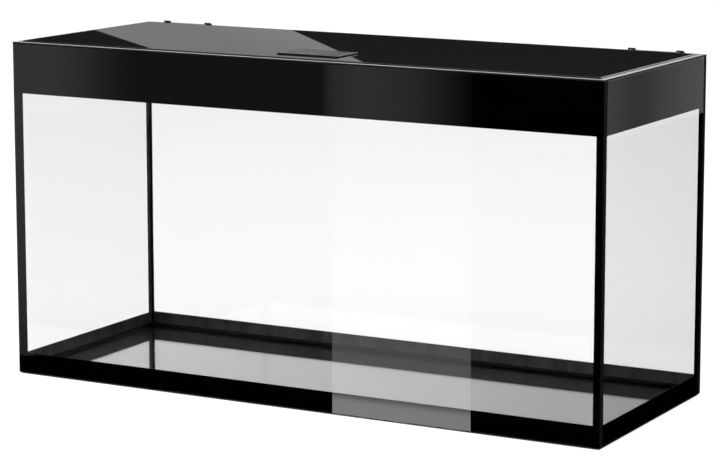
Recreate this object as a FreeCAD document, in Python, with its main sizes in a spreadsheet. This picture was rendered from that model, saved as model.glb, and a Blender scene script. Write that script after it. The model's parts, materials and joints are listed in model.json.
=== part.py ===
import FreeCAD, Part
import os
import Sketcher

# Rimless glass aquarium with black head and base bands, an aluminium top rim, a hinged lid and two
# sliding light bars. Millimetres, +Z up, +X to the right, -Y to the front. The origin is at the centre of
# the underside of the foam mat. Every piece is bound to the sizes in the sheet.

SIZES = {
    # Overall
    "length": 1200,
    "depth": 450,
    "height": 630,  # underside of the mat to the top of the lid glass
    # Glass and the foam mat under it
    "mat": 2,
    "mat_inset": 2,
    "pane": 10,
    "floor": 8,
    "arris": 1.2,  # chamfer on every edge of a pane
    # Black enamel fired on the inner faces
    "enamel": 0.3,
    "head_band": 98,
    "base_band": 39.5,
    "front_strip": 16.5,
    "side_front_strip": 9,  # from the front pane's inner face
    "side_back_strip": 15,  # from the back pane's inner face
    # Silicone
    "joint": 1,  # width of the joint between two panes
    "corner_bead": 4,
    "cove": 7,
    "cove_lip": 0.5,
    # Strengthening braces of glass
    "brace": 8,
    "brace_width": 50,
    "brace_drop": 50,  # from the lid's top to the upper face of the long braces
    "brace_end_gap": 38,
    "brace_film": 0.5,
    "brace_bead": 4,
    "cross_width": 80,
    "cross_lap": 30,
    # Aluminium rim
    "rim_wall": 2,
    "rim_web": 28,
    "shelf": 12,
    # Lid and its seal
    "lid": 4,
    "lid_rise": 2,  # lid's top over the rim's top
    "lid_gap": 1,
    "leaf_clearance": 3.3,  # hinge leaf to the ledge, when shut
    "seal": 2,
    "seal_width": 8,
    "seal_inset": 0.5,
    # Handle plate
    "handle_width": 125,
    "handle_depth": 74,
    "handle_plate": 1.5,
    "handle_pad": 1,
    "handle_setback": 39.2,  # from the lid's front edge
    "handle_edge": 1,
    "handle_corner": 3,
    # Lid hinges
    "hinge_inset": 96.5,  # hinge's middle from the end of the tank
    "knuckle_spacing": 95,
    "knuckle_radius": 2.2,
    "knuckle_width": 4.4,
    "knuckle_gap": 0.3,
    "hinge_setback": 7,  # pin from the back of the tank
    "hinge_plate": 1,
    "leaf": 1.6,
    "leaf_reach": 37,
    "pin_radius": 1,
    "pin_clearance": 0.1,
    "pin_overhang": 0.3,
    # Rails for the light bars
    "rail_end_gap": 22,
    "rail_wall": 1.5,
    "rail_foot": 14.5,
    "rail_gap": 2,  # rail to the shelf above it
    "screw_radius": 1.5,
    "screw_head_radius": 2.75,
    "screw_head": 1.6,
    "screw_clearance": 0.1,
    "screw_inset": 25,
    "screw_rise": 12,
    # Light bars
    "bar_offset": 100,  # centre of each bar from the middle of the tank
    "bar_width": 40,
    "bar_height": 12,
    "bar_wall": 1.5,
    "bar_lip": 2.5,
    "diffuser": 1.5,
    "led_board": 1,
    "led_board_width": 14,
    "led_chip": 3,
    "led_chip_height": 0.8,
    "led_pitch": 40,
    "led_inset": 30,  # bar's end to the middle of the first chip, or a little more
    "cap": 4,
    "shoe_width": 28,
    "shoe_height": 4.5,
    "shoe_overlap": 12,
    "gland_radius": 4,
    "gland_length": 8,
    "gland_bore": 2.5,
    "gland_inset": 50,
    # Clearances
    "fit": 0.3,
    "rim_gap": 0.5,
}

doc = FreeCAD.newDocument("aquarium")
sheet = doc.addObject("Spreadsheet::Sheet", "Size")
for row, (alias, size) in enumerate(SIZES.items(), start=1):
    sheet.set(f"A{row}", alias)
    sheet.set(f"B{row}", str(size))
    sheet.setAlias(f"B{row}", alias)
doc.recompute()

sub_parts = []


# --- Ways of making a piece -------------------------------------------------------------------------


def number(expression):
    """The value that an expression has with the sheet's present sizes."""
    return float(sheet.evalExpression(expression))


def keep(piece, label):
    """Name a finished piece and put it on the list of sub-parts."""
    piece.Label = label
    sub_parts.append(piece)
    return piece


def span(side, near, far):
    """Low and high ends of a stretch from near to far, on the side given by the sign."""
    if side > 0:
        return (near, far)
    return (f"-({far})", f"-({near})")


def centred(half):
    return (f"-({half})", half)


def block(name, x, y, z):
    """A box between pairs of expressions along each axis."""
    box = doc.addObject("Part::Box", name)
    for axis, edge, (low, high) in zip("xyz", ("Length", "Width", "Height"), (x, y, z)):
        box.setExpression(f"Placement.Base.{axis}", low)
        box.setExpression(edge, f"({high}) - ({low})")
    return box


def rod(name, direction, centre, radius, length):
    """A cylinder that starts at centre and runs along +X, +Y or +Z."""
    turns = {
        "x": FreeCAD.Rotation(FreeCAD.Vector(0, 1, 0), 90),
        "y": FreeCAD.Rotation(FreeCAD.Vector(1, 0, 0), -90),
        "z": FreeCAD.Rotation(),
    }
    cylinder = doc.addObject("Part::Cylinder", name)
    cylinder.Placement = FreeCAD.Placement(FreeCAD.Vector(), turns[direction])
    for axis, place in zip("xyz", centre):
        cylinder.setExpression(f"Placement.Base.{axis}", place)
    cylinder.setExpression("Radius", radius)
    cylinder.setExpression("Height", length)
    return cylinder


def fuse(name, pieces):
    union = doc.addObject("Part::MultiFuse", name)
    union.Shapes = pieces
    union.Refine = True
    return union


def cut(name, base, tool):
    rest = doc.addObject("Part::Cut", name)
    rest.Base = base
    rest.Tool = tool
    return rest


def group(name, pieces):
    """Separate solids in one piece, for identical fasteners."""
    compound = doc.addObject("Part::Compound", name)
    compound.Links = pieces
    return compound


def origin_plane(body, role):
    return next(plane for plane in body.Origin.OriginFeatures if plane.Role == role)


def sketch_loops(body, name, role, loops, offset):
    """A sketch of closed polygons, each corner held by its distances from the origin."""
    sketch = body.newObject("Sketcher::SketchObject", name)
    sketch.AttachmentSupport = [(origin_plane(body, role), "")]
    sketch.MapMode = "FlatFace"
    sketch.setExpression("AttachmentOffset.Base.z", offset)
    for corners in loops:
        first = sketch.GeometryCount
        points = [FreeCAD.Vector(number(across), number(up), 0) for across, up in corners]
        for start, end in zip(points, points[1:] + points[:1]):
            sketch.addGeometry(Part.LineSegment(start, end), False)
        for index, (across, up) in enumerate(corners):
            line = first + index
            following = first + (index + 1) % len(corners)
            sketch.addConstraint(Sketcher.Constraint("Coincident", line, 2, following, 1))
            for kind, expression in (("DistanceX", across), ("DistanceY", up)):
                value = number(expression)
                constraint = sketch.addConstraint(Sketcher.Constraint(kind, -1, 1, line, 1, value))
                sketch.setExpression(f"Constraints[{constraint}]", expression)
    return sketch


def add_pad(body, name, role, loops, start, length):
    """Pad closed polygons from start along the plane's normal."""
    sketch = sketch_loops(body, f"{name}_sketch", role, loops, start)
    pad = body.newObject("PartDesign::Pad", name)
    pad.Profile = sketch
    pad.setExpression("Length", length)
    return pad


def prism(name, role, loops, start, length):
    body = doc.addObject("PartDesign::Body", name)
    add_pad(body, f"{name}_pad", role, loops, start, length)
    return body


def rectangle(x, y):
    return [(x[0], y[0]), (x[1], y[0]), (x[1], y[1]), (x[0], y[1])]


def slab(name, x, y, z, arris):
    """A flat plate with every edge chamfered."""
    body = doc.addObject("PartDesign::Body", name)
    pad = add_pad(body, f"{name}_pad", "XY_Plane", [rectangle(x, y)], z[0], f"({z[1]}) - ({z[0]})")
    doc.recompute()
    chamfer = body.newObject("PartDesign::Chamfer", f"{name}_arris")
    chamfer.Base = (pad, ["Edge1"])
    chamfer.UseAllEdges = True
    chamfer.setExpression("Size", arris)
    return body


# --- Places that several pieces share ---------------------------------------------------------------

half_length = "Size.length / 2"
half_depth = "Size.depth / 2"
inner_x = f"({half_length} - Size.pane)"  # inner faces of the side panes
inner_y = f"({half_depth} - Size.pane)"  # inner faces of the front and back panes
joint_x = f"({inner_x} - Size.joint)"
joint_y = f"({inner_y} - Size.joint)"
skin_x = f"({inner_x} - Size.enamel)"  # inner faces of the enamel
skin_y = f"({inner_y} - Size.enamel)"
arris_x = f"({half_length} - Size.arris)"

glass_low = "Size.mat"
floor_top = "(Size.mat + Size.floor)"
rim_top = "(Size.height - Size.lid_rise)"
glass_top = f"({rim_top} - Size.rim_wall)"
lid_under = "(Size.height - Size.lid)"
shelf_top = f"({lid_under} - Size.seal)"
shelf_under = f"({shelf_top} - Size.rim_wall)"
web_low = f"({rim_top} - Size.rim_web)"
head_low = "(Size.height - Size.head_band)"
enamel_low = "(Size.mat + Size.arris)"
enamel_high = f"({glass_top} - Size.arris)"

SIDES = {"left": -1, "right": 1}
ENDS = {"front": -1, "back": 1}


# --- Foam mat and glass panes -----------------------------------------------------------------------

mat_x = centred(f"{half_length} - Size.mat_inset")
mat_y = centred(f"{half_depth} - Size.mat_inset")
keep(block("Mat", mat_x, mat_y, ("0", "Size.mat")), "levelling_mat")

floor_pane = slab("FloorPane", centred(joint_x), centred(joint_y), (glass_low, floor_top), "Size.arris")
keep(floor_pane, "bottom_pane")
for end, sign in ENDS.items():
    pane_y = span(sign, inner_y, half_depth)
    pane = slab(f"Pane_{end}", centred(half_length), pane_y, (glass_low, glass_top), "Size.arris")
    keep(pane, f"{end}_pane")
for side, sign in SIDES.items():
    pane_x = span(sign, inner_x, half_length)
    pane = slab(f"Pane_{side}", pane_x, centred(joint_y), (glass_low, glass_top), "Size.arris")
    keep(pane, f"{side}_pane")


# --- Black enamel: a full frame on the front and side panes, a head and a base band on the back -----

window_x = f"{half_length} - Size.front_strip"
frame_loops = [
    rectangle(centred(arris_x), (enamel_low, enamel_high)),
    rectangle(centred(window_x), ("Size.base_band", head_low)),
]
# The plane faces the front, so the pad runs from the skin's inner face out to the pane.
keep(prism("FrontEnamel", "XZ_Plane", frame_loops, skin_y, "Size.enamel"), "front_enamel")

bands = {"upper": (head_low, enamel_high), "lower": (enamel_low, "Size.base_band")}
bead_x = f"({inner_x} - Size.corner_bead)"
front_bead_y = f"({skin_y} - Size.corner_bead)"
back_bead_y = f"({inner_y} - Size.corner_bead)"
for band, band_z in bands.items():
    back_band = block(f"BackEnamel_{band}", centred(bead_x), (skin_y, inner_y), band_z)
    keep(back_band, f"back_enamel_{band}")
side_window_y = (f"-({inner_y} - Size.side_front_strip)", f"{inner_y} - Size.side_back_strip")
# The side frames stop where the corner beads begin.
side_loops = [
    rectangle((f"-{front_bead_y}", back_bead_y), (enamel_low, enamel_high)),
    rectangle(side_window_y, ("Size.base_band", head_low)),
]
for side, sign in SIDES.items():
    near, far = span(sign, skin_x, inner_x)
    side_frame = prism(f"SideEnamel_{side}", "YZ_Plane", side_loops, near, f"({far}) - ({near})")
    keep(side_frame, f"{side}_enamel")


# --- Black silicone along the floor and up the four corners -----------------------------------------

seam_z = (glass_low, f"{floor_top} + Size.cove")
seam_block = block("FloorSeamBlock", centred(skin_x), centred(skin_y), seam_z)
cove = doc.addObject("PartDesign::Body", "CoveVoid")
cove_x = centred(f"{skin_x} - Size.cove_lip")
cove_y = centred(f"{skin_y} - Size.cove_lip")
cove_pad = add_pad(cove, "CoveVoidPad", "XY_Plane", [rectangle(cove_x, cove_y)], floor_top, "2 * Size.cove")
doc.recompute()
cove_floor = number(floor_top)
low_edges = [
    f"Edge{index}"
    for index, edge in enumerate(cove_pad.Shape.Edges, start=1)
    if abs(edge.BoundBox.ZMax - cove_floor) < 0.01
]
cove_round = cove.newObject("PartDesign::Fillet", "CoveVoidRound")
cove_round.Base = (cove_pad, low_edges)
cove_round.setExpression("Radius", "Size.cove - Size.cove_lip")
floor_seam = cut("FloorSeam", cut("FloorSeamRing", seam_block, floor_pane), cove)
keep(floor_seam, "bottom_seam")

for end, end_sign in ENDS.items():
    for side, side_sign in SIDES.items():
        wall_y = skin_y if end == "front" else inner_y
        bead_y = front_bead_y if end == "front" else back_bead_y
        film = [(arris_x, wall_y), (inner_x, wall_y), (inner_x, joint_y), (arris_x, joint_y)]
        bead = [(bead_x, wall_y), (inner_x, wall_y), (inner_x, bead_y)]
        name = f"Corner_{end}_{side}"
        body = doc.addObject("PartDesign::Body", name)
        bead_top = f"{web_low} - Size.rim_gap"
        for piece, outline, low, top in (
            ("film", film, enamel_low, enamel_high),
            ("bead", bead, floor_top, bead_top),
        ):
            corners = [(f"{side_sign} * {x}", f"{end_sign} * {y}") for x, y in outline]
            add_pad(body, f"{name}_{piece}", "XY_Plane", [corners], low, f"{top} - ({low})")
        keep(cut(f"{name}_seam", body, floor_seam), f"corner_seam_{end}_{side}")


# --- Glass braces under the rim and their silicone --------------------------------------------------

brace_top = "(Size.height - Size.brace_drop)"
brace_under = f"({brace_top} - Size.brace)"
brace_half = f"({half_length} - Size.brace_end_gap)"
brace_out = f"({skin_y} - Size.brace_film)"
brace_in = f"({brace_out} - Size.brace_width)"
for end, sign in ENDS.items():
    brace_y = span(sign, brace_in, brace_out)
    brace = slab(f"Brace_{end}", centred(brace_half), brace_y, (brace_under, brace_top), "Size.arris / 2")
    keep(brace, f"{end}_brace")
    section = [
        (skin_y, f"{brace_under} - Size.brace_bead"),
        (skin_y, f"{brace_top} + Size.brace_bead"),
        (f"{brace_out} - Size.brace_bead", brace_top),
        (brace_out, brace_top),
        (brace_out, brace_under),
        (f"{brace_out} - Size.brace_bead", brace_under),
    ]
    corners = [(f"{sign} * ({y})", z) for y, z in section]
    seam = prism(f"BraceSeam_{end}", "YZ_Plane", [corners], f"-{brace_half}", f"2 * {brace_half}")
    keep(seam, f"{end}_brace_seam")

cross_half = f"{brace_in} + Size.cross_lap"
cross_z = (brace_top, f"{brace_top} + Size.brace")
cross = slab("CrossBrace", centred("Size.cross_width / 2"), centred(cross_half), cross_z, "Size.arris / 2")
keep(cross, "centre_brace")


# --- Aluminium rim: one section on a ring, mitred into four -----------------------------------------

ledge_x = f"({skin_x} - Size.rim_gap - Size.rim_wall)"  # inner edge of the ledge round the lid
ledge_y = f"({skin_y} - Size.rim_gap - Size.rim_wall)"
web_x = f"({ledge_x} + Size.rim_wall)"
web_y = f"({ledge_y} + Size.rim_wall)"
shelf_x = f"({ledge_x} - Size.shelf)"
shelf_y = f"({ledge_y} - Size.shelf)"

outer_loop = rectangle(centred(half_length), centred(half_depth))
web_loop = rectangle(centred(web_x), centred(web_y))
ledge_loop = rectangle(centred(ledge_x), centred(ledge_y))
shelf_loop = rectangle(centred(shelf_x), centred(shelf_y))
ring = doc.addObject("PartDesign::Body", "RimRing")
add_pad(ring, "RimFlange", "XY_Plane", [outer_loop, ledge_loop], glass_top, "Size.rim_wall")
add_pad(ring, "RimWeb", "XY_Plane", [web_loop, ledge_loop], web_low, f"{glass_top} - {web_low}")
add_pad(ring, "RimShelf", "XY_Plane", [ledge_loop, shelf_loop], shelf_under, "Size.rim_wall")

rail_z = (web_low, f"({shelf_under} - Size.rail_gap)")
rail_half = f"({ledge_y} - Size.rail_end_gap)"
screw_z = f"({web_low} + Size.screw_rise)"
screw_places = [f"{sign} * ({rail_half} - Size.screw_inset)" for sign in (-1, 1)]
mitre_x = f"({half_length} - {half_depth})"


def mitre_wedge(name, corners):
    return prism(name, "XY_Plane", [corners], web_low, "Size.rim_web")


def rim_section(name, wedge):
    section = doc.addObject("Part::Common", name)
    section.Base = ring
    section.Tool = wedge
    return section


for end, sign in ENDS.items():
    edge_y = f"{sign} * {half_depth}"
    corners = [(f"-{half_length}", edge_y), (half_length, edge_y), (mitre_x, "0"), (f"-{mitre_x}", "0")]
    keep(rim_section(f"Rim_{end}", mitre_wedge(f"RimWedge_{end}", corners)), f"rim_{end}")
for side, sign in SIDES.items():
    edge_x = f"{sign} * {half_length}"
    corners = [(edge_x, f"-{half_depth}"), (edge_x, half_depth), (f"{sign} * {mitre_x}", "0")]
    section = rim_section(f"Rim_{side}", mitre_wedge(f"RimWedge_{side}", corners))
    drill_x = span(sign, ledge_x, web_x)[0]
    drills = [
        rod(f"RimDrill_{side}_{index}", "x", (drill_x, place, screw_z),
            "Size.screw_radius + Size.screw_clearance", "Size.rim_wall")
        for index, place in enumerate(screw_places)
    ]
    keep(cut(f"RimDrilled_{side}", section, group(f"RimDrills_{side}", drills)), f"rim_{side}")


# --- Lid glass, its seal strips and the handle plate ------------------------------------------------

lid_x = f"({ledge_x} - Size.lid_gap)"
lid_front = f"({ledge_y} - Size.lid_gap)"
lid_back = f"({ledge_y} - Size.leaf_clearance - Size.leaf - Size.fit)"
lid_z = (lid_under, "Size.height")
lid = slab("LidGlass", centred(lid_x), (f"-{lid_front}", lid_back), lid_z, "Size.arris / 2")
keep(lid, "lid_glass")

seal_out_x = f"({ledge_x} - Size.seal_inset)"
seal_out_y = f"({ledge_y} - Size.seal_inset)"
seal_in_x = f"({seal_out_x} - Size.seal_width)"
seal_in_y = f"({seal_out_y} - Size.seal_width)"
leaf_half = "(Size.knuckle_spacing / 2 + Size.knuckle_width * 1.5 + Size.knuckle_gap)"
seal_z = (shelf_top, lid_under)
hinge_x = f"({half_length} - Size.hinge_inset)"
rear_seal_half = f"{hinge_x} - {leaf_half} - Size.lid_gap"
keep(block("SealFront", centred(seal_out_x), span(-1, seal_in_y, seal_out_y), seal_z), "lid_seal_front")
keep(block("SealBack", centred(rear_seal_half), (seal_in_y, seal_out_y), seal_z), "lid_seal_back")
for side, sign in SIDES.items():
    strip_y = (f"-{seal_in_y}", seal_out_y)
    keep(block(f"Seal_{side}", span(sign, seal_in_x, seal_out_x), strip_y, seal_z), f"lid_seal_{side}")

handle_front = f"(Size.handle_setback - {lid_front})"
pad_top = "(Size.height + Size.handle_pad)"
pad_x = centred("Size.handle_width / 2 - Size.handle_edge")
pad_y = (f"{handle_front} + Size.handle_edge", f"{handle_front} + Size.handle_depth - Size.handle_edge")
keep(block("HandlePad", pad_x, pad_y, ("Size.height", pad_top)), "handle_pad")
handle = doc.addObject("PartDesign::Body", "Handle")
handle_y = (handle_front, f"{handle_front} + Size.handle_depth")
handle_loop = rectangle(centred("Size.handle_width / 2"), handle_y)
handle_pad = add_pad(handle, "HandlePlate", "XY_Plane", [handle_loop], pad_top, "Size.handle_plate")
doc.recompute()
upright_edges = [
    f"Edge{index}"
    for index, edge in enumerate(handle_pad.Shape.Edges, start=1)
    if edge.BoundBox.ZLength > number("Size.handle_plate") / 2
]
handle_round = handle.newObject("PartDesign::Fillet", "HandleCorners")
handle_round.Base = (handle_pad, upright_edges)
handle_round.setExpression("Radius", "Size.handle_corner")
keep(handle, "lid_handle")


# --- Hinges: base plate on the rear ledge, leaf under the lid, two short pins -----------------------

pin_y = f"({half_depth} - Size.hinge_setback)"
pin_z = f"({rim_top} + Size.fit + Size.knuckle_radius)"
knuckle_half = "(Size.knuckle_width / 2)"
knuckle_reach = f"({knuckle_half} + Size.knuckle_gap + Size.knuckle_width)"
bore = "Size.pin_radius + Size.pin_clearance"
plate_front = f"({ledge_y} + Size.lid_gap)"
plate_back = f"({half_depth} - Size.rim_gap)"
notch_back = f"({pin_y} + Size.knuckle_radius + Size.fit)"
plate_top = f"({rim_top} + Size.hinge_plate)"
leaf_back = f"({lid_back} + Size.fit + Size.leaf)"
leaf_under = f"({lid_under} - Size.leaf)"
arm_top = f"({pin_z} - Size.fit)"
arm_under = f"({arm_top} - Size.leaf)"


def knuckle(name, start, width):
    return rod(name, "x", (start, pin_y, pin_z), "Size.knuckle_radius", width)


def hinge_base(side, centre, groups):
    plate_x = (f"{centre} - {leaf_half}", f"{centre} + {leaf_half}")
    pieces = []
    notches = []
    plate = block(f"HingePlate_{side}", plate_x, (plate_front, plate_back), (rim_top, plate_top))
    for index, place in enumerate(groups):
        notch_half = f"({knuckle_half} + Size.knuckle_gap)"
        notch_x = (f"{place} - {notch_half}", f"{place} + {notch_half}")
        notch_y = (plate_front, notch_back)
        notches.append(block(f"HingeNotch_{side}_{index}", notch_x, notch_y, (rim_top, plate_top)))
        for outer, start in enumerate((f"{place} - {knuckle_reach}", f"{notch_x[1]}")):
            name = f"BaseKnuckle_{side}_{index}_{outer}"
            lug_y = (f"{pin_y} - Size.knuckle_radius", f"{pin_y} + Size.knuckle_radius")
            lug_x = (start, f"{start} + Size.knuckle_width")
            pieces.append(knuckle(name, start, "Size.knuckle_width"))
            pieces.append(block(f"{name}_lug", lug_x, lug_y, (rim_top, pin_z)))
    cut_plate = cut(f"HingePlateCut_{side}", plate, group(f"HingeNotches_{side}", notches))
    return fuse(f"HingeBaseBlank_{side}", [cut_plate] + pieces)


def hinge_leaf(side, centre, groups):
    leaf_x = (f"{centre} - {leaf_half}", f"{centre} + {leaf_half}")
    leaf_y = (f"{lid_back} - Size.leaf_reach", leaf_back)
    riser_y = (f"{leaf_back} - Size.leaf", leaf_back)
    arm_y = (f"{leaf_back} - Size.leaf", pin_y)
    plate = block(f"LeafPlate_{side}", leaf_x, leaf_y, (leaf_under, lid_under))
    pieces = [plate]
    for index, place in enumerate(groups):
        start = f"{place} - {knuckle_half}"
        arm_x = (start, f"{place} + {knuckle_half}")
        name = f"LeafKnuckle_{side}_{index}"
        pieces.append(knuckle(name, start, "Size.knuckle_width"))
        pieces.append(block(f"{name}_riser", arm_x, riser_y, (leaf_under, arm_top)))
        pieces.append(block(f"{name}_arm", arm_x, arm_y, (arm_under, arm_top)))
    return fuse(f"HingeLeafBlank_{side}", pieces)


for side, sign in SIDES.items():
    centre = f"{sign} * {hinge_x}"
    groups = [f"({centre} {step} Size.knuckle_spacing / 2)" for step in "-+"]
    bores = []
    pins = []
    for index, place in enumerate(groups):
        reach = f"{knuckle_reach} + Size.pin_overhang"
        pin_start = (f"{place} - {reach}", pin_y, pin_z)
        pins.append(rod(f"Pin_{side}_{index}", "x", pin_start, "Size.pin_radius", f"2 * ({reach})"))
        bores.append(rod(f"PinBore_{side}_{index}", "x", pin_start, bore, f"2 * ({reach})"))
    bore_group = group(f"PinBores_{side}", bores)
    keep(cut(f"HingeBase_{side}", hinge_base(side, centre, groups), bore_group), f"hinge_base_{side}")
    keep(cut(f"HingeLeaf_{side}", hinge_leaf(side, centre, groups), bore_group), f"hinge_leaf_{side}")
    keep(group(f"HingePins_{side}", pins), f"hinge_pins_{side}")


# --- Rails on the side rims, with their screws ------------------------------------------------------

rail_face = f"({ledge_x} - Size.rail_wall)"
rail_edge = f"({ledge_x} - Size.rail_foot)"
rail_top = f"({web_low} + Size.rail_wall)"
for side, sign in SIDES.items():
    section = [
        (ledge_x, rail_z[0]),
        (ledge_x, rail_z[1]),
        (rail_face, rail_z[1]),
        (rail_face, rail_top),
        (rail_edge, rail_top),
        (rail_edge, rail_z[0]),
    ]
    corners = [(f"{sign} * {x}", z) for x, z in section]
    rail = prism(f"Rail_{side}", "XZ_Plane", [corners], f"-{rail_half}", f"2 * {rail_half}")
    drills = []
    screws = []
    for index, place in enumerate(screw_places):
        name = f"{side}_{index}"
        shank_x = span(sign, rail_face, f"{web_x}")
        shank_length = f"{web_x} - {rail_face}"
        head_x = span(sign, f"{rail_face} - Size.screw_head", rail_face)[0]
        clear = "Size.screw_radius + Size.screw_clearance"
        drills.append(rod(f"RailDrill_{name}", "x", (shank_x[0], place, screw_z), clear, shank_length))
        shank = rod(f"Shank_{name}", "x", (shank_x[0], place, screw_z), "Size.screw_radius", shank_length)
        head_at = (head_x, place, screw_z)
        head = rod(f"Head_{name}", "x", head_at, "Size.screw_head_radius", "Size.screw_head")
        screws.append(fuse(f"Screw_{name}", [shank, head]))
    keep(cut(f"RailDrilled_{side}", rail, group(f"RailDrills_{side}", drills)), f"light_rail_{side}")
    keep(group(f"RailScrews_{side}", screws), f"rail_screws_{side}")


# --- Light bars: channel, board with chips, diffuser, two end shoes and a cable gland ---------------

shoe_under = f"({rail_top} + Size.fit)"
bar_end = f"({rail_edge} - Size.fit)"
bar_low = f"({shoe_under} + Size.bar_wall)"
bar_high = f"({bar_low} + Size.bar_height)"
bar_half = "(Size.bar_width / 2)"
cavity_half = f"({bar_half} - Size.bar_wall)"
channel_floor = f"({bar_low} + Size.bar_wall)"
channel_roof = f"({bar_high} - Size.bar_wall)"
gland_x = f"({bar_end} - Size.gland_inset)"
gland_z = f"({bar_low} + Size.bar_height / 2)"


def light_bar(end, sign):
    centre = f"({sign} * Size.bar_offset)"
    section = [
        (f"-{bar_half}", bar_low),
        (f"-{bar_half}", bar_high),
        (bar_half, bar_high),
        (bar_half, bar_low),
        (f"{cavity_half} - Size.bar_lip", bar_low),
        (f"{cavity_half} - Size.bar_lip", channel_floor),
        (cavity_half, channel_floor),
        (cavity_half, channel_roof),
        (f"-{cavity_half}", channel_roof),
        (f"-{cavity_half}", channel_floor),
        (f"Size.bar_lip - {cavity_half}", channel_floor),
        (f"Size.bar_lip - {cavity_half}", bar_low),
    ]
    corners = [(f"{centre} + {y}", z) for y, z in section]
    housing = prism(f"Bar_{end}", "YZ_Plane", [corners], f"-{bar_end}", f"2 * {bar_end}")
    keep(housing, f"{end}_light_housing")

    # The diffuser lies on the channel's lips.
    inside_x = centred(f"{bar_end} - Size.fit")
    diffuser_half = f"{cavity_half} - Size.fit"
    diffuser_y = (f"{centre} - ({diffuser_half})", f"{centre} + ({diffuser_half})")
    diffuser_z = (channel_floor, f"{channel_floor} + Size.diffuser")
    diffuser = block(f"Diffuser_{end}", inside_x, diffuser_y, diffuser_z)
    keep(diffuser, f"{end}_light_diffuser")

    # The board is fixed under the channel's roof, with a row of chips that face down.
    board_under = f"({channel_roof} - Size.led_board)"
    board_y = (f"{centre} - Size.led_board_width / 2", f"{centre} + Size.led_board_width / 2")
    board = doc.addObject("PartDesign::Body", f"Board_{end}")
    board_loop = rectangle(inside_x, board_y)
    add_pad(board, f"BoardPlate_{end}", "XY_Plane", [board_loop], board_under, "Size.led_board")
    steps = f"floor(2 * ({bar_end} - Size.led_inset) / Size.led_pitch)"
    first_chip = f"(-{steps} * Size.led_pitch / 2)"
    chip_x = (f"{first_chip} - Size.led_chip / 2", f"{first_chip} + Size.led_chip / 2")
    chip_y = (f"{centre} - Size.led_chip / 2", f"{centre} + Size.led_chip / 2")
    chip = add_pad(board, f"Chip_{end}", "XY_Plane", [rectangle(chip_x, chip_y)],
                   f"{board_under} - Size.led_chip_height", "Size.led_chip_height")
    doc.recompute()
    row = board.newObject("PartDesign::LinearPattern", f"ChipRow_{end}")
    row.Originals = [chip]
    row.Direction = (chip.Profile[0], ["H_Axis"])
    row.setExpression("Length", f"{steps} * Size.led_pitch")
    row.setExpression("Occurrences", f"{steps} + 1")
    board.Tip = row
    keep(board, f"{end}_light_board")

    # Each end shoe closes the channel and rides on the rail's foot.
    for side, side_sign in SIDES.items():
        cap_x = span(side_sign, bar_end, f"{bar_end} + Size.cap")
        cap_y = (f"{centre} - {bar_half}", f"{centre} + {bar_half}")
        shoe_x = span(side_sign, bar_end, f"{bar_end} + Size.shoe_overlap")
        shoe_y = (f"{centre} - Size.shoe_width / 2", f"{centre} + Size.shoe_width / 2")
        cap = block(f"Cap_{end}_{side}", cap_x, cap_y, (bar_low, bar_high))
        shoe = block(f"Shoe_{end}_{side}", shoe_x, shoe_y, (shoe_under, f"{shoe_under} + Size.shoe_height"))
        keep(fuse(f"EndShoe_{end}_{side}", [cap, shoe]), f"{end}_light_shoe_{side}")

    # The gland faces the middle of the tank's back.
    gland_start = (gland_x, f"{centre} + {bar_half}", gland_z)
    barrel = rod(f"Gland_{end}", "y", gland_start, "Size.gland_radius", "Size.gland_length")
    throat = rod(f"GlandBore_{end}", "y", gland_start, "Size.gland_bore", "Size.gland_length")
    keep(cut(f"GlandCut_{end}", barrel, throat), f"{end}_light_gland")


for end, sign in ENDS.items():
    light_bar(end, sign)


# --- Check every object, then write the sub-parts ---------------------------------------------------

doc.recompute()
faults = [item.Name for item in doc.Objects if "Invalid" in item.State or "Error" in item.State]
for piece in sub_parts:
    if piece.Shape.isNull() or not piece.Shape.isValid() or piece.Shape.Volume <= 0:
        faults.append(piece.Label)
if faults:
    raise RuntimeError(f"Objects that failed: {faults}")

os.makedirs("parts", exist_ok=True)
for piece in sub_parts:
    piece.Shape.exportStep(os.path.join("parts", f"{piece.Label}.step"))
print(f"{len(sub_parts)} sub-parts written")
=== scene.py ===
import json
import math

import bmesh
import bpy
import numpy as np
from mathutils import Matrix, Vector


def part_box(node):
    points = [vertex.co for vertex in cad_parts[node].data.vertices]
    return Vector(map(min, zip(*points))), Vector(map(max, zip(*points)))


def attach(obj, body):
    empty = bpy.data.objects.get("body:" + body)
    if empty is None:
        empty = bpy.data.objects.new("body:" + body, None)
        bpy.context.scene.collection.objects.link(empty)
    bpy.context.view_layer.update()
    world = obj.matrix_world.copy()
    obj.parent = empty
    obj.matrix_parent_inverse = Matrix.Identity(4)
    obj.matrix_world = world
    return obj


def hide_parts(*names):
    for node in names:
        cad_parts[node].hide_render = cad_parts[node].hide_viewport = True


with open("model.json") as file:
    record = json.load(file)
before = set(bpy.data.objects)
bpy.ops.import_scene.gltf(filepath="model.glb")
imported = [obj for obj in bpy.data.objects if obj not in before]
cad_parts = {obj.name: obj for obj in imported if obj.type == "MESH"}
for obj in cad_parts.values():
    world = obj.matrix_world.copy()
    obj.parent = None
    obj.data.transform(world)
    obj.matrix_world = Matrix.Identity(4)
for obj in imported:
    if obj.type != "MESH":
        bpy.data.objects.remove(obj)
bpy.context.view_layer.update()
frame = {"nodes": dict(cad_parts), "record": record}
nodes = frame["nodes"]
mm = 0.001
print("frame loaded:", len(nodes), "nodes")


def linearColour(hexColour, alpha=1.0):
    # sRGB hex to linear: a straight foot below 0.04045, a 2.4 power above it
    parts = np.array([int(hexColour[i:i + 2], 16) for i in (1, 3, 5)]) / 255
    linear = np.where(parts <= 0.04045, parts / 12.92, ((parts + 0.055) / 1.055) ** 2.4)
    return (*linear.tolist(), alpha)


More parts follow.
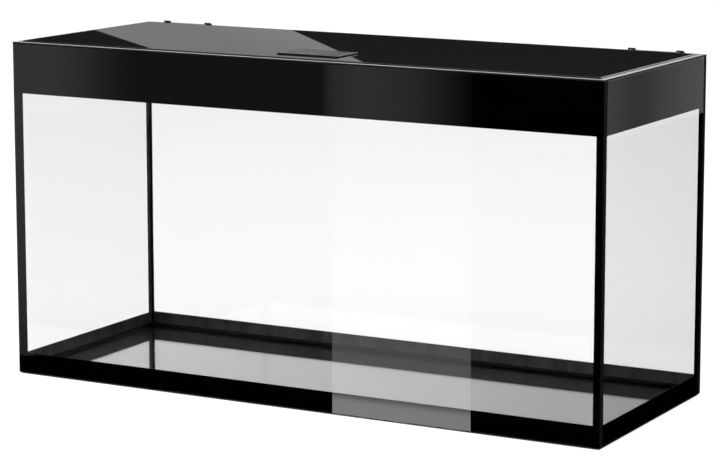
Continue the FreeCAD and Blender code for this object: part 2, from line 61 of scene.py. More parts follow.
def addNode(material, kind, settings=None, links=None):
    # one node, its settings (attributes or sockets by name) and the outputs that feed its sockets
    node = material.node_tree.nodes.new(kind)
    for key, value in (settings or {}).items():
        if isinstance(key, str) and hasattr(node, key):
            setattr(node, key, value)
        else:
            node.inputs[key].default_value = value
    for key, source in (links or {}).items():
        material.node_tree.links.new(source, node.inputs[key])
    return node


def startMaterial(name, finish):
    # a Principled surface with the finish's fixed values on its own sockets
    material = bpy.data.materials.new(name)
    material.use_nodes = True
    shader = material.node_tree.nodes["Principled BSDF"]
    for socket, value in finish.items():
        shader.inputs[socket].default_value = linearColour(value) if isinstance(value, str) else value
    return material, shader


def feed(material, shader, links):
    for socket, source in links.items():
        material.node_tree.links.new(source, shader.inputs[socket])


def objectPoints(material, scale=(1, 1, 1), turn=(0, 0, 0)):
    place = addNode(material, "ShaderNodeTexCoord")
    mapped = addNode(material, "ShaderNodeMapping", {"Scale": scale, "Rotation": turn},
                     {"Vector": place.outputs["Object"]})
    return mapped.outputs["Vector"]


def addRamp(material, source, colours, positions=(0, 1)):
    ramp = addNode(material, "ShaderNodeValToRGB", {}, {"Fac": source})
    for element, colour, position in zip(ramp.color_ramp.elements, colours, positions):
        element.position = position
        element.color = linearColour(colour)
    return ramp


def levels(node, axis):
    # the different coordinates that a node's corners have along one axis
    return sorted({round(vertex.co[axis], 6) for vertex in nodes[node].data.vertices})


def loftLoops(name, loops, ringShut, materials, smooth=False):
    # loops is an array of closed outlines, n by m points. Each outline is joined to the next one by quads;
    # ringShut joins the last to the first, otherwise both ends are capped.
    loops = np.asarray(loops, float)
    count, around = loops.shape[:2]
    rows = np.arange(count if ringShut else count - 1)[:, None]
    steps = np.arange(around)[None, :]
    nextRow = (rows + 1) % count
    nextStep = (steps + 1) % around
    quads = np.stack([rows * around + steps, rows * around + nextStep,
                      nextRow * around + nextStep, nextRow * around + steps], axis=-1)
    faces = quads.reshape(-1, 4).tolist()
    if not ringShut:
        faces.append(list(range(around))[::-1])
        faces.append(list(range((count - 1) * around, count * around)))
    mesh = bpy.data.meshes.new(name)
    mesh.from_pydata(loops.reshape(-1, 3).tolist(), [], faces)
    shell = bmesh.new()
    shell.from_mesh(mesh)
    bmesh.ops.remove_doubles(shell, verts=shell.verts, dist=1e-7)
    bmesh.ops.recalc_face_normals(shell, faces=shell.faces)
    shell.to_mesh(mesh)
    shell.free()
    mesh.polygons.foreach_set("use_smooth", [smooth] * len(mesh.polygons))
    piece = bpy.data.objects.new(name, mesh)
    bpy.context.scene.collection.objects.link(piece)
    for material in materials:
        mesh.materials.append(material)
    return piece


def rectangleLoop(halfX, halfY, centre=(0, 0), radius=0.0, steps=1):
    # a rectangle's outline, anticlockwise from its lower right; each corner is an arc of the given radius
    # with steps + 1 points
    turn = np.linspace(0, math.pi / 2, steps + 1)
    signs = np.array([(1, -1), (1, 1), (-1, 1), (-1, -1)])
    starts = np.array([-0.5, 0, 0.5, 1]) * math.pi
    angle = starts[:, None] + turn[None, :]
    hubs = signs * np.array([halfX - radius, halfY - radius])
    x = hubs[:, :1] + radius * np.cos(angle)
    y = hubs[:, 1:] + radius * np.sin(angle)
    return np.stack([x.ravel() + centre[0], y.ravel() + centre[1]], axis=-1)


def place(outline, axis, height):
    # puts a flat outline at a height along an axis; the outline's own two axes keep their order
    third = np.full(len(outline), height)
    columns = list(outline.T)
    columns.insert(axis, third)
    return np.stack(columns, axis=-1)


def finishPiece(piece, body, slotName, *replaced):
    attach(piece, body)
    if replaced:
        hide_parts(*replaced)
    return piece


# Low-iron float glass: colourless face on, with only the two reflections of each pane to show it
clearGlass = {"Base Color": "#fefefe", "Roughness": 0.0, "IOR": 1.52, "Transmission Weight": 1.0}
# All the panes' narrow edges are ground, and sealed with the joint's black
groundEdge = {"Base Color": "#0a0a0b", "Roughness": 0.45, "IOR": 1.5}
edgeGrit = {"grainMm": 1.1, "roughLow": 0.35, "roughHigh": 0.55}


def makeFloatGlass():
    return startMaterial("lowIronFloatGlass", clearGlass)[0]


def makeGroundEdge():
    material, shader = startMaterial("sealedGroundEdge", groundEdge)
    grit = addNode(material, "ShaderNodeTexNoise", {"Scale": 1 / (edgeGrit["grainMm"] * mm), "Detail": 2.0},
                   {"Vector": objectPoints(material)})
    rough = addNode(material, "ShaderNodeMapRange",
                    {"To Min": edgeGrit["roughLow"], "To Max": edgeGrit["roughHigh"]},
                    {"Value": grit.outputs["Fac"]})
    feed(material, shader, {"Roughness": rough.outputs["Result"]})
    return material


def sealPaneEdges():
    # faces of an upright pane that don't face along its thickness, arrises too, take the second material
    edge = makeGroundEdge()
    for name, axis in (("front_pane", 1), ("back_pane", 1), ("left_pane", 0), ("right_pane", 0)):
        mesh = nodes[name].data
        mesh.materials.append(edge)
        lean = np.array([abs(face.normal[axis]) for face in mesh.polygons])
        mesh.polygons.foreach_set("material_index", (lean < 0.9).astype(int))


# Lid: toughened float glass with black enamel on its underside, so it is deep black under a clear skin
lidFinish = {"Base Color": "#2a2a2b", "Roughness": 0.006, "IOR": 1.52}
lidDust = {"grainMm": 9, "roughLow": 0.0, "roughHigh": 0.012}


def makeLidGlass():
    material, shader = startMaterial("enamelBackedGlass", lidFinish)
    points = objectPoints(material)
    cloud = addNode(material, "ShaderNodeTexNoise",
                    {"Scale": 1 / (lidDust["grainMm"] * mm), "Detail": 4.0}, {"Vector": points})
    haze = addNode(material, "ShaderNodeMapRange",
                   {"From Min": 0.3, "From Max": 0.7, "To Min": lidDust["roughLow"],
                    "To Max": lidDust["roughHigh"]}, {"Value": cloud.outputs["Fac"]})
    feed(material, shader, {"Roughness": haze.outputs["Result"]})
    return material


# Ceramic enamel screen-printed and fired on the glass. Its bonded face has no skin of its own, only the
# glass's. Its bare face inside is satin; painted light lifts it to a grey well above the bonded face, and its
# faint vertical streaks are painted reflections.
enamelFinish = {"bonded": ("#020202", "#050505"), "cloudMm": 70, "bare": ("#383637", "#545153"),
                "reflectionStreakMm": 30, "reflectionStreakStretch": 4, "roughLow": 0.22, "roughHigh": 0.42, "embedMm": 0.05}
bondedSurface = {"Base Color": "#030303", "Roughness": 0.6, "Specular IOR Level": 0.0}
bareSurface = {"Base Color": "#464445", "Roughness": 0.3, "Specular IOR Level": 0.28}


def makeBondedEnamel():
    material, shader = startMaterial("firedEnamelBonded", bondedSurface)
    cloud = addNode(material, "ShaderNodeTexNoise",
                    {"Scale": 1 / (enamelFinish["cloudMm"] * mm), "Detail": 3.0},
                    {"Vector": objectPoints(material)})
    shade = addRamp(material, cloud.outputs["Fac"], enamelFinish["bonded"])
    feed(material, shader, {"Base Color": shade.outputs["Color"]})
    return material


def makeBareEnamel():
    material, shader = startMaterial("firedEnamelBarePaintedSheen", bareSurface)
    points = objectPoints(material, (1, 1, 1 / enamelFinish["reflectionStreakStretch"]))
    cloud = addNode(material, "ShaderNodeTexNoise",
                    {"Scale": 1 / (enamelFinish["reflectionStreakMm"] * mm), "Detail": 5.0, "Distortion": 0.6},
                    {"Vector": points})
    # painted light: the bare face's grey is lifted well above the enamel's near-black, and the vertical streaks
    # are painted reflections
    shade = addRamp(material, cloud.outputs["Fac"], enamelFinish["bare"], (0.35, 0.7))
    rough = addNode(material, "ShaderNodeMapRange",
                    {"To Min": enamelFinish["roughLow"], "To Max": enamelFinish["roughHigh"]},
                    {"Value": cloud.outputs["Fac"]})
    feed(material, shader, {"Base Color": shade.outputs["Color"], "Roughness": rough.outputs["Result"]})
    return material


def makeEnamel(node, axis, inward, hole, materials):
    # A thin plate on a pane's inner face. Its outline lies across the axis; hole is an inner outline or None.
    # The bonded side reaches a hair into the glass, so that the two surfaces never share a plane.
    low, high = (np.array(corner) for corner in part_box(node))
    embed = enamelFinish["embedMm"] * mm
    across = [index for index in range(3) if index != axis]
    bonded, bare = (low[axis] - embed, high[axis]) if inward > 0 else (high[axis] + embed, low[axis])
    middle = (low + high) / 2
    half = (high - low) / 2
    outer = rectangleLoop(*half[across], centre=middle[across])
    outlines = [place(outer, axis, bonded), place(outer, axis, bare)]
    if hole is not None:
        inner = rectangleLoop(*hole[1], centre=hole[0])
        outlines += [place(inner, axis, bare), place(inner, axis, bonded)]
    plate = loftLoops(node + "Skin", outlines, hole is not None, materials)
    flat = np.array([face.normal[axis] * inward for face in plate.data.polygons])
    plate.data.polygons.foreach_set("material_index", (flat > -0.5).astype(int))
    return finishPiece(plate, "tank", "black_enamel", node)


def makeAllEnamel():
    materials = [makeBondedEnamel(), makeBareEnamel()]
    for node, axis, inward in (("front_enamel", 1, 1), ("left_enamel", 0, 1), ("right_enamel", 0, -1)):
        # the window's edges are the frame's second and last but one corners along each direction
        across = levels(node, 1 - axis)
        up = levels(node, 2)
        hole = (((across[1] + across[-2]) / 2, (up[1] + up[-2]) / 2),
                ((across[-2] - across[1]) / 2, (up[-2] - up[1]) / 2))
        makeEnamel(node, axis, inward, hole, materials)
    for band in ("upper", "lower"):
        makeEnamel("back_enamel_" + band, 1, -1, None, materials)


# Acetoxy silicone, gunned and drawn with a finger: matt, dark, with long soft waves in the bead
siliconeFinish = {"Base Color": "#070708", "Roughness": 0.6, "Specular IOR Level": 0.2}
siliconeSkin = {"waveMm": 22, "roughLow": 0.5, "roughHigh": 0.7, "bump": 0.15, "bumpMm": 0.2}
seam = {"coveMm": 7, "lipMm": 0.5, "beadMm": 4, "embedMm": 0.05, "waveMm": 0.25, "stepMm": 12, "arcSteps": 7}


def makeSilicone():
    material, shader = startMaterial("drawnBlackSilicone", siliconeFinish)
    waves = addNode(material, "ShaderNodeTexNoise", {"Scale": 1 / (siliconeSkin["waveMm"] * mm), "Detail": 3.0},
                    {"Vector": objectPoints(material)})
    rough = addNode(material, "ShaderNodeMapRange",
                    {"To Min": siliconeSkin["roughLow"], "To Max": siliconeSkin["roughHigh"]},
                    {"Value": waves.outputs["Fac"]})
    bump = addNode(material, "ShaderNodeBump",
                   {"Strength": siliconeSkin["bump"], "Distance": siliconeSkin["bumpMm"] * mm},
                   {"Height": waves.outputs["Fac"]})
    feed(material, shader, {"Roughness": rough.outputs["Result"], "Normal": bump.outputs["Normal"]})
    return material


def wave(along, seed):
    # a slow uneven swell: three sines with lengths that don't divide each other
    lengths = np.array([0.37, 0.149, 0.083])
    phases = np.array([0.7, 2.1, 4.4]) * seed
    waves = np.sin(2 * math.pi * along[..., None] / lengths + phases) * np.array([0.5, 0.3, 0.2])
    return waves.sum(axis=-1)


def makeFloorSeam(material):
    # The joint's section carried round the tank's floor: a film beside the floor pane and a hollow
    # quarter-round cove above it. Corners are mitred.
    low, high = (np.array(corner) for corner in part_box("bottom_seam"))
    paneHigh = np.array(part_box("bottom_pane")[1])
    embed = seam["embedMm"] * mm
    cove = seam["coveMm"] * mm
    lip = seam["lipMm"] * mm
    jointWidth = high[0] - paneHigh[0] + embed
    floorZ = paneHigh[2]
    turn = np.linspace(0, math.pi / 2, seam["arcSteps"])
    radius = cove - lip
    insets = np.concatenate([[-embed, -embed], cove - radius * np.cos(turn), [cove, jointWidth, jointWidth]])
    heights = np.concatenate([[low[2], floorZ + cove], floorZ + radius - radius * np.sin(turn),
                              [floorZ - embed, floorZ - embed, low[2]]])
    widths = np.zeros(len(insets))
    widths[2:3 + len(turn)] = np.linspace(0.1, 1, len(turn) + 1)
    sides = []
    for start, end in (((-1, -1), (1, -1)), ((1, -1), (1, 1)), ((1, 1), (-1, 1)), ((-1, 1), (-1, -1))):
        length = 2 * (high[0] if start[1] == end[1] else high[1])
        share = np.linspace(0, 1, int(length / (seam["stepMm"] * mm)), endpoint=False)[:, None]
        sides.append(np.array(start) * (1 - share) + np.array(end) * share)
    path = np.concatenate(sides)
    run = np.arange(len(path)) * seam["stepMm"] * mm
    swell = wave(run, 1.0) * seam["waveMm"] * mm
    # at a corner both axes are at 1, so the inset applies to both and makes the mitre
    inset = insets[:, None] + widths[:, None] * swell[None, :]
    x = path[None, :, 0] * (high[0] - inset)
    y = path[None, :, 1] * (high[1] - inset)
    z = np.broadcast_to(heights[:, None], x.shape)
    piece = loftLoops("floorCove", np.stack([x, y, z], axis=-1), True, [material], smooth=True)
    piece.data.shade_smooth()
    piece.modifiers.new("edges", "EDGE_SPLIT").split_angle = math.radians(50)
    return finishPiece(piece, "tank", "black_silicone", "bottom_seam")


def makeCornerSeam(end, side, material):
    # The film between two panes and a small hollow bead in the inner corner, drawn up the corner
    low, high = (np.array(corner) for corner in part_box(f"corner_seam_{end}_{side}"))
    signX = -1 if side == "left" else 1
    signY = -1 if end == "front" else 1
    outerX = max(abs(low[0]), abs(high[0]))
    wallY = max(abs(low[1]), abs(high[1]))
    sideLow, sideHigh = (np.array(corner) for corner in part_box(f"{side}_pane"))
    paneX = min(abs(sideLow[0]), abs(sideHigh[0]))
    paneEndY = sideHigh[1]
    embed = seam["embedMm"] * mm
    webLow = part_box("rim_front")[0][2]
    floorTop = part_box("bottom_pane")[1][2]
    z = np.concatenate([[low[2]], np.arange(floorTop, webLow - 0.001, seam["stepMm"] * mm), [webLow, high[2]]])
    bead = seam["beadMm"] * mm * (0.94 + 0.06 * wave(z, 1.7 + signX + 0.5 * signY))
    bead[-1] = 0.0001
    turn = np.linspace(0, math.pi / 2, seam["arcSteps"])
    hubX = paneX - bead[:, None]
    hubY = wallY - bead[:, None]
    arcX = hubX + bead[:, None] * np.sin(turn)[None, :]
    arcY = hubY + bead[:, None] * np.cos(turn)[None, :]
    column = np.ones((len(z), 1))
    x = np.concatenate([outerX * column, arcX, (paneX + embed) * column, (paneX + embed) * column,
                        outerX * column], axis=1)
    y = np.concatenate([(wallY + embed) * column, arcY, hubY, (paneEndY - embed) * column,
                        (paneEndY - embed) * column], axis=1)
    loops = np.stack([x * signX, y * signY, np.broadcast_to(z[:, None], x.shape)], axis=-1)
    piece = loftLoops(f"cornerBead_{end}_{side}", loops, False, [material])
    return finishPiece(piece, "tank", "black_silicone", f"corner_seam_{end}_{side}")


def makeBraceSeam(end, material):
    # a bracket-shaped section along the brace: a film behind it and a bead above and below
    low, high = (np.array(corner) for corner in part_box(f"{end}_brace_seam"))
    braceLow, braceHigh = (np.array(corner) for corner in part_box(f"{end}_brace"))
    sign = -1 if end == "front" else 1
    wallY = max(abs(low[1]), abs(high[1])) + seam["embedMm"] * mm
    braceY = max(abs(braceLow[1]), abs(braceHigh[1])) - seam["embedMm"] * mm
    beadY = min(abs(low[1]), abs(high[1]))
    embed = seam["embedMm"] * mm
    section = np.array([(wallY, low[2]), (wallY, high[2]), (beadY, braceHigh[2] + embed),
                        (beadY, braceHigh[2] - embed), (braceY, braceHigh[2] - embed),
                        (braceY, braceLow[2] + embed), (beadY, braceLow[2] + embed),
                        (beadY, braceLow[2] - embed)])
    section[:, 0] *= sign
    loops = [place(section, 0, low[0]), place(section, 0, high[0])]
    piece = loftLoops(f"braceBead_{end}", loops, False, [material])
    return finishPiece(piece, "tank", "black_silicone", f"{end}_brace_seam")


def makeAllSilicone():
    material = makeSilicone()
    makeFloorSeam(material)
    for end in ("front", "back"):
        makeBraceSeam(end, material)
        for side in ("left", "right"):
            makeCornerSeam(end, side, material)


# Cross-linked polyethylene foam: matt, dark grey, closed cells about half a millimetre across
foamMat = {"colours": ("#4f4f50", "#59595a"), "cellMm": 0.9, "bump": 0.3, "bumpMm": 0.1, "airGapMm": 0.08,
           "cornerMm": 4, "edgeSteps": 6}
foamSurface = {"Base Color": "#555556", "Roughness": 0.92, "Specular IOR Level": 0.25}


def makeFoam():
    material, shader = startMaterial("closedCellFoam", foamSurface)
    points = objectPoints(material)
    cells = addNode(material, "ShaderNodeTexVoronoi", {"Scale": 1 / (foamMat["cellMm"] * mm)},
                    {"Vector": points})
    shade = addRamp(material, cells.outputs["Distance"], foamMat["colours"])
    bump = addNode(material, "ShaderNodeBump", {"Strength": foamMat["bump"], "Distance": foamMat["bumpMm"] * mm},
                   {"Height": cells.outputs["Distance"]})
    feed(material, shader, {"Base Color": shade.outputs["Color"], "Normal": bump.outputs["Normal"]})
    return material


def makeMat():
    # A thin sheet whose edge bulges as a half round where the glass presses on it. An air gap stays
    # between foam and glass, as between any dry sheet and a pane.
    low, high = (np.array(corner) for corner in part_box("levelling_mat"))
    top = high[2] - foamMat["airGapMm"] * mm
    bulge = (top - low[2]) / 2
    turn = np.linspace(-math.pi / 2, math.pi / 2, foamMat["edgeSteps"] * 2 + 1)
    loops = [place(rectangleLoop(high[0] - bulge * (1 - math.cos(angle)), high[1] - bulge * (1 - math.cos(angle)),
                                 radius=foamMat["cornerMm"] * mm, steps=8), 2,
                   low[2] + bulge * (1 + math.sin(angle))) for angle in turn]
    piece = loftLoops("foamMat", loops, False, [makeFoam()])
    finishPiece(piece, "tank", "mat_foam", "levelling_mat")
    return piece


# Extruded aluminium, black anodised. Its outer lip carries a painted highlight, brighter on the long rims
# than on the short ones, and drawing marks along each profile spread its sheen across the profile only.
rimFinish = {"Base Color": "#1b1b1c", "Metallic": 1.0, "Roughness": 0.36, "Anisotropic": 0.9}
rimLook = {"deep": "#141415", "lips": ("#2e2e30", "#8e8f92"), "lipMm": 5.0, "lineMm": 0.25, "stretch": 60, "roughLow": 0.32,
           "roughHigh": 0.42, "bump": 0.15, "bumpMm": 0.1}


def makeRimMetal(name, axis):
    # axis is the one across the profile; the lip lies beyond a fixed distance from the tank's middle, where a
    # painted highlight lightens the metal's colour
    material, shader = startMaterial(name, rimFinish)
    fine = 1 / (rimLook["lineMm"] * mm)
    coarse = fine / rimLook["stretch"]
    scale = (fine, coarse, fine) if axis == 0 else (coarse, fine, fine)
    grain = addNode(material, "ShaderNodeTexNoise", {"Scale": 1.0, "Detail": 2.0},
                    {"Vector": objectPoints(material, scale)})
    split = addNode(material, "ShaderNodeSeparateXYZ", {}, {"Vector": objectPoints(material)})
    reach = addNode(material, "ShaderNodeMath", {"operation": "ABSOLUTE"}, {0: split.outputs[axis]})
    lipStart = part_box("rim_right")[1][0] if axis == 0 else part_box("rim_back")[1][1]
    inPaintedHighlight = addNode(material, "ShaderNodeMath",
                    {"operation": "GREATER_THAN", 1: lipStart - rimLook["lipMm"] * mm},
                    {0: reach.outputs["Value"]})
    # painted highlight: the lip band gets a lighter colour than the rest of the rim
    shade = addRamp(material, inPaintedHighlight.outputs["Value"], (rimLook["deep"], rimLook["lips"][axis]))
    rough = addNode(material, "ShaderNodeMapRange",
                    {"To Min": rimLook["roughLow"], "To Max": rimLook["roughHigh"]},
                    {"Value": grain.outputs["Fac"]})
    bump = addNode(material, "ShaderNodeBump", {"Strength": rimLook["bump"], "Distance": rimLook["bumpMm"] * mm},
                   {"Height": grain.outputs["Fac"]})
    across = addNode(material, "ShaderNodeCombineXYZ", {axis: 1.0})
    spread = addNode(material, "ShaderNodeVectorTransform",
                     {"vector_type": "VECTOR", "convert_from": "OBJECT", "convert_to": "WORLD"},
                     {"Vector": across.outputs["Vector"]})
    feed(material, shader, {"Base Color": shade.outputs["Color"], "Roughness": rough.outputs["Result"],
                            "Normal": bump.outputs["Normal"], "Tangent": spread.outputs["Vector"]})
    return material


# ABS, injection moulded in a polished tool: black gloss with very slight flow haze
handleFinish = {"Base Color": "#1c1c1d", "Roughness": 0.12, "IOR": 1.53}
handle = {"cornerMm": 3, "edgeMm": 0.5, "footMm": 0.3, "edgeSteps": 6, "cornerSteps": 8, "flowMm": 17,
          "roughLow": 0.09, "roughHigh": 0.15}


def makeGlossPlastic():
    material, shader = startMaterial("polishedBlackAbs", handleFinish)
    flow = addNode(material, "ShaderNodeTexNoise", {"Scale": 1 / (handle["flowMm"] * mm), "Detail": 2.0},
                   {"Vector": objectPoints(material)})
    rough = addNode(material, "ShaderNodeMapRange",
                    {"To Min": handle["roughLow"], "To Max": handle["roughHigh"]},
                    {"Value": flow.outputs["Fac"]})
    feed(material, shader, {"Roughness": rough.outputs["Result"]})
    return material


def makeHandle():
    # A rounded-rectangle outline carried up the plate's edge: straight, then a quarter round to the flat top
    low, high = (np.array(corner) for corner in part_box("lid_handle"))
    half = (high - low) / 2
    middle = (high + low) / 2
    edge = handle["edgeMm"] * mm
    turn = np.linspace(0, math.pi / 2, handle["edgeSteps"])
    foot = handle["footMm"] * mm
    insets = np.concatenate([[foot, 0], edge - edge * np.cos(turn)])
    heights = np.concatenate([[low[2], low[2] + foot], high[2] - edge + edge * np.sin(turn)])
    loops = [place(rectangleLoop(half[0] - inset, half[1] - inset, middle[:2],
                                 max(handle["cornerMm"] * mm - inset, 0.0008), handle["cornerSteps"]), 2, height)
             for inset, height in zip(insets, heights)]
    piece = loftLoops("handlePlate", loops, False, [makeGlossPlastic()])
    return finishPiece(piece, "lid", "handle_plastic", "lid_handle")


# Each finish: a colour, its darker partner in a fine noise, the noise's grain and the surface values
plainFinishes = {
    "mouldedNylon": {"colour": "#1a1a1b", "dark": "#111112", "grainMm": 0.8, "bump": 0.25,
                     "surface": {"Roughness": 0.48, "IOR": 1.53}},
    "spongeRubber": {"colour": "#1d1d1e", "dark": "#0f0f10", "grainMm": 0.6, "bump": 0.6,
                     "surface": {"Roughness": 0.9, "IOR": 1.45}},
    "foamTape": {"colour": "#1b1b1c", "dark": "#101011", "grainMm": 0.5, "bump": 0.5,
                 "surface": {"Roughness": 0.85, "IOR": 1.45}},
    "turnedStainless": {"colour": "#c9c8c6", "dark": "#b4b3b1", "grainMm": 0.3, "bump": 0.08,
                        "surface": {"Roughness": 0.24, "Metallic": 1.0}},
    "clearAnodisedRail": {"colour": "#b9bbbd", "dark": "#a8aaac", "grainMm": 0.3, "bump": 0.1,
                          "surface": {"Roughness": 0.34, "Metallic": 1.0}},
    "blackAnodisedBar": {"colour": "#3c3c3f", "dark": "#313134", "grainMm": 0.3, "bump": 0.1,
                         "surface": {"Roughness": 0.38, "Metallic": 1.0}},
    "opalAcrylic": {"colour": "#eceeef", "dark": "#e2e5e6", "grainMm": 0.7, "bump": 0.05,
                    "surface": {"Roughness": 0.22, "IOR": 1.49, "Subsurface Weight": 0.25,
                                "Subsurface Scale": 0.002}},
}
finishOf = {
    "hinge_plastic": "mouldedNylon", "shoe_plastic": "mouldedNylon", "gland_plastic": "mouldedNylon",
    "seal_rubber": "spongeRubber", "pad_foam": "foamTape", "pin_steel": "turnedStainless",
    "screw_steel": "turnedStainless", "rail_aluminium": "clearAnodisedRail",
    "bar_aluminium": "blackAnodisedBar", "diffuser": "opalAcrylic",
}


def makePlainFinish(name):
    finish = plainFinishes[name]
    material, shader = startMaterial(name, finish["surface"])
    grain = addNode(material, "ShaderNodeTexNoise",
                    {"Scale": 1 / (finish["grainMm"] * mm), "Detail": 3.0}, {"Vector": objectPoints(material)})
    shade = addRamp(material, grain.outputs["Fac"], (finish["dark"], finish["colour"]), (0.3, 0.7))
    bump = addNode(material, "ShaderNodeBump", {"Strength": finish["bump"], "Distance": 0.1 * mm},
                   {"Height": grain.outputs["Fac"]})
    feed(material, shader, {"Base Color": shade.outputs["Color"], "Normal": bump.outputs["Normal"]})
    return material


# Circuit board: white solder mask over copper, with yellow phosphor on the chips that hang below it
board = {"mask": "#e6e7e3", "phosphor": "#e0b23c", "chipDropMm": 0.05}


def makeBoard():
    material, shader = startMaterial("whiteSolderMask", {"Roughness": 0.35, "IOR": 1.5})
    underside = levels("front_light_board", 2)[-2]
    spot = addNode(material, "ShaderNodeTexCoord")
    split = addNode(material, "ShaderNodeSeparateXYZ", {}, {"Vector": spot.outputs["Object"]})
    isChip = addNode(material, "ShaderNodeMath",
                     {"operation": "LESS_THAN", 1: underside - board["chipDropMm"] * mm},
                     {0: split.outputs["Z"]})
    shade = addRamp(material, isChip.outputs["Value"], (board["mask"], board["phosphor"]))
    feed(material, shader, {"Base Color": shade.outputs["Color"]})
    return material


def paintNodes():
    made = {"clear_glass": makeFloatGlass(), "lid_glass": makeLidGlass(), "led_board": makeBoard()}
    # the long rims get a brighter painted lip highlight than the short rims
    longRim = makeRimMetal("anodisedRimLong", 1)
    shortRim = makeRimMetal("anodisedRimShort", 0)
    for entry in frame["record"]["subparts"]:
        name, slotName = entry["node"], entry["material_slot"]
        if slotName == "rim_aluminium":
            material = longRim if name in ("rim_front", "rim_back") else shortRim
        elif slotName in finishOf:
            if slotName not in made:
                made[slotName] = makePlainFinish(finishOf[slotName])
            material = made[slotName]
        elif slotName in made:
            material = made[slotName]
        else:
            continue
        mesh = nodes[name].data
        mesh.materials.clear()
        mesh.materials.append(material)


studio = {"floorSize": 60.0, "floorColour": "#8f8f8f", "floorGlowWithShadowFill": (0.84, 0.72), "shadowFillReach": (0.8, 4.5),
          "skyLeft": 1.32, "skyRight": 0.9, "skyTurn": (-0.13, 0.03), "sunStrength": 0.25,
          "sunSpread": 50, "sunTilt": (25, -20)}

# Each panel is seen only in reflections: a sheet between corners, with a glow that changes along it
panels = {
    "lidPanel": {"corners": [(-3.12, 3.0, 0.90), (-2.10, 3.0, 0.90), (-1.45, 3.0, 1.12), (-2.14, 3.0, 1.12)],
                 "stops": [0, 0.5, 1], "glow": [0.31, 0.30, 0.35], "along": 0},
    "frontHead": {"corners": [(-2.9, -3.0, 0.05), (-1.05, -3.0, 0.05), (-1.05, -3.0, 0.4), (-2.9, -3.0, 0.4)],
                  "stops": [0, 0.2, 0.27, 0.31, 0.36, 0.742, 0.748, 0.8, 0.86, 0.91, 0.955, 1],
                  "glow": [0.7, 0.66, 0.42, 0.25, 0.13, 0.12, 0.45, 0.6, 0.52, 0.37, 0.17, 0.03], "along": 0},
    "frontStrip": {"corners": [(-1.52, -3.0, -1.0), (-1.05, -3.0, -1.0), (-1.05, -3.0, 0.05), (-1.52, -3.0, 0.05)],
                   "stops": [0, 0.24, 0.25, 0.38, 0.5, 1], "glow": [4.3, 4.3, 1.4, 1.3, 0.6, 0.35], "along": 1},
    "leftColumn": {"corners": [(-2.9, -3.0, -0.75), (-2.625, -3.0, -0.75), (-2.625, -3.0, 0.05),
                               (-2.9, -3.0, 0.05)],
                   "stops": [0, 0.3, 1], "glow": [0.3, 0.5, 0.65], "along": 1},
    "rightSide": {"corners": [(3.0, 5.1, -0.33), (3.0, 6.4, -0.33), (3.0, 6.4, 0.3), (3.0, 5.1, 0.3)],
                  "stops": [0, 0.12, 0.3, 0.38, 0.5, 0.7, 1], "glow": [0.4, 0.33, 0.23, 0.24, 0.33, 0.42, 0.54],
                  "along": 0},
    "rimPanel": {"corners": [(-6.0, 4.0, 1.6), (4.0, 4.0, 1.6), (4.0, 4.0, 5.0), (-6.0, 4.0, 5.0)],
                 "stops": [0, 1], "glow": [4.0, 3.0], "along": 1},
    "overhead": {"corners": [(-1.6, -1.2, 2.4), (1.6, -1.2, 2.4), (1.6, 1.6, 2.4), (-1.6, 1.6, 2.4)],
                 "stops": [0, 1], "glow": [1.1, 0.9], "along": 1},
}


def makePanel(name, panel):
    # a bilinear sheet between four corners; glow is stored at each point
    count = 41
    u, v = np.meshgrid(np.linspace(0, 1, count), np.linspace(0, 1, count), indexing="ij")
    a, b, c, d = (np.array(corner) for corner in panel["corners"])
    u3, v3 = u[..., None], v[..., None]
    points = (1 - u3) * (1 - v3) * a + u3 * (1 - v3) * b + u3 * v3 * c + (1 - u3) * v3 * d
    glow = np.interp(u if panel["along"] == 0 else v, panel["stops"], panel["glow"])
    index = np.arange(count * count).reshape(count, count)
    quads = np.stack([index[:-1, :-1], index[1:, :-1], index[1:, 1:], index[:-1, 1:]], axis=-1)
    mesh = bpy.data.meshes.new(name)
    mesh.from_pydata(points.reshape(-1, 3).tolist(), [], quads.reshape(-1, 4).tolist())
    mesh.attributes.new("glow", "FLOAT", "POINT").data.foreach_set("value", glow.ravel())
    material = bpy.data.materials.new(name + "Glow")
    material.use_nodes = True
    material.node_tree.nodes.clear()
    level = addNode(material, "ShaderNodeAttribute", {"attribute_name": "glow"})
    lamp = addNode(material, "ShaderNodeEmission", {"Color": (1, 1, 1, 1)}, {"Strength": level.outputs["Fac"]})
    addNode(material, "ShaderNodeOutputMaterial", {}, {"Surface": lamp.outputs["Emission"]})
    mesh.materials.append(material)
    sheet = bpy.data.objects.new(name, mesh)
    bpy.context.scene.collection.objects.link(sheet)
    sheet.visible_camera = sheet.visible_diffuse = sheet.visible_transmission = sheet.visible_shadow = False


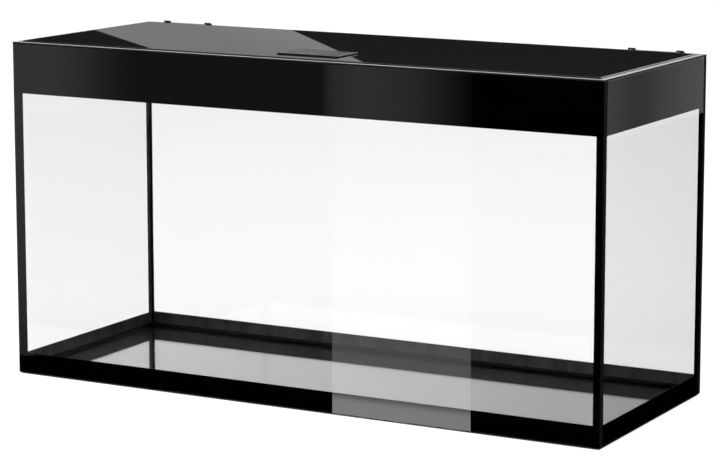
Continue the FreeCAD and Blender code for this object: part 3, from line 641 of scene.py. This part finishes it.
def makeFloorMaterial():
    # a lit translucent table: half its light is its own, with painted light a little stronger close to the tank
    # that fills the tank's shadow on it
    material, shader = startMaterial("litPaleTable", {
        "Base Color": studio["floorColour"], "Roughness": 0.9, "Specular IOR Level": 0.1,
        "Emission Color": "#ffffff"})
    reach = addNode(material, "ShaderNodeVectorMath", {"operation": "LENGTH"},
                    {"Vector": objectPoints(material)})
    # painted light: the glow is stronger near the tank, filling the shadow the tank casts on the floor
    near, far = studio["floorGlowWithShadowFill"]
    glow = addNode(material, "ShaderNodeMapRange",
                   {"From Min": studio["shadowFillReach"][0], "From Max": studio["shadowFillReach"][1],
                    "To Min": near, "To Max": far}, {"Value": reach.outputs["Value"]})
    feed(material, shader, {"Emission Strength": glow.outputs["Result"]})
    # rays that have already bounced off a gloss surface see it black, so no pane mirrors it as a veil
    path = addNode(material, "ShaderNodeLightPath")
    isMirrored = addNode(material, "ShaderNodeMath", {"operation": "GREATER_THAN", 1: 0.5},
                         {0: path.outputs["Glossy Depth"]})
    dark = addNode(material, "ShaderNodeEmission", {"Strength": 0.0})
    mixed = addNode(material, "ShaderNodeMixShader", {},
                    {0: isMirrored.outputs["Value"], 1: shader.outputs["BSDF"], 2: dark.outputs["Emission"]})
    output = material.node_tree.nodes["Material Output"]
    material.node_tree.links.new(mixed.outputs["Shader"], output.inputs["Surface"])
    return material


def makeSky():
    # a white room that is a little brighter on the left of the view than on the right
    world = bpy.data.worlds.new("studioSky")
    world.use_nodes = True
    direction = addNode(world, "ShaderNodeTexCoord")
    across = addNode(world, "ShaderNodeVectorMath", {"operation": "DOT_PRODUCT", 1: (0.893, 0.45, 0)},
                     {0: direction.outputs["Generated"]})
    strength = addNode(world, "ShaderNodeMapRange",
                       {"From Min": studio["skyTurn"][0], "From Max": studio["skyTurn"][1],
                        "To Min": studio["skyLeft"], "To Max": studio["skyRight"]},
                       {"Value": across.outputs["Value"]})
    background = world.node_tree.nodes["Background"]
    background.inputs["Color"].default_value = (1, 1, 1, 1)
    world.node_tree.links.new(strength.outputs["Result"], background.inputs["Strength"])
    world.cycles_visibility.glossy = False
    bpy.context.scene.world = world


def makeStudio():
    half = studio["floorSize"] / 2
    mesh = bpy.data.meshes.new("studioFloor")
    mesh.from_pydata([(-half, -half, 0), (half, -half, 0), (half, half, 0), (-half, half, 0)], [], [(0, 1, 2, 3)])
    mesh.materials.append(makeFloorMaterial())
    floor = bpy.data.objects.new("studioFloor", mesh)
    bpy.context.scene.collection.objects.link(floor)
    floor.visible_glossy = False
    for name, panel in panels.items():
        makePanel(name, panel)

    makeSky()
    bpy.context.scene.view_settings.view_transform = "Standard"  # hex values read as given, white stays white

    sun = bpy.data.lights.new("softSun", "SUN")
    sun.energy = studio["sunStrength"]
    sun.angle = math.radians(studio["sunSpread"])
    lamp = bpy.data.objects.new("softSun", sun)
    lamp.rotation_euler = [math.radians(angle) for angle in (*studio["sunTilt"], 0)]
    bpy.context.scene.collection.objects.link(lamp)


# It looks down the tank from the right, with a long lens and a slight shift
cameraView = {"location": (2.334, -4.130, 1.140), "azimuth": 26.69, "elevation": 8.72, "roll": 0.37,
              "lensMm": 130.4, "shift": (-0.1667, -0.0924)}


def makeCamera():
    data = bpy.data.cameras.new("studioCamera")
    data.lens = cameraView["lensMm"]
    data.sensor_width = 36
    data.shift_x, data.shift_y = cameraView["shift"]
    data.clip_end = 200
    azimuth, elevation, roll = (math.radians(cameraView[key]) for key in ("azimuth", "elevation", "roll"))
    camera = bpy.data.objects.new("studioCamera", data)
    aim = (Matrix.Rotation(azimuth, 4, "Z") @ Matrix.Rotation(math.pi / 2 - elevation, 4, "X")
           @ Matrix.Rotation(roll, 4, "Z"))
    camera.matrix_world = Matrix.Translation(Vector(cameraView["location"])) @ aim
    bpy.context.scene.collection.objects.link(camera)
    bpy.context.scene.camera = camera


makeCamera()
print("camera placed")
paintNodes()
sealPaneEdges()
print("frame nodes painted")
makeAllEnamel()
print("enamel fired")
makeAllSilicone()
print("silicone drawn")
makeMat()
makeHandle()
print("mat and handle made")
makeStudio()
print("studio lit")
